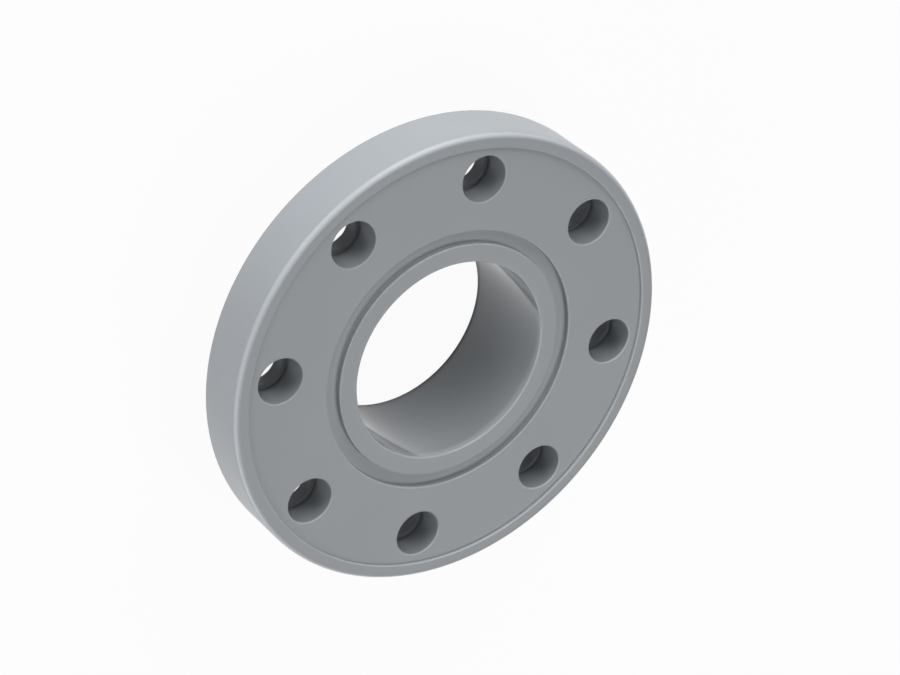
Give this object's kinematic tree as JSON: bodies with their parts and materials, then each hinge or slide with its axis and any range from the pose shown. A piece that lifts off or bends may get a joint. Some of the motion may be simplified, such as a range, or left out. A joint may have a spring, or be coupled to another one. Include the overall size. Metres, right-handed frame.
{
  "type": "pipe flange",
  "caption": "Full-face plastic pipe flange: flat disc with a raised rim, a round groove in its face, stepped bolt holes and a plain hub for the pipe on its back.",
  "frame": {"origin": "centre of the hub's end face, on which the flange lies", "axes": "+Z along the bore axis, from the hub's end to the sealing face; +X through the centre of one bolt hole"},
  "size_m": [0.2, 0.2, 0.0497],
  "materials": {
    "grey_plastic": "moulded, satin"
  },
  "bodies": {
    "root": {"flange": "grey_plastic"}
  },
  "joints": []
}
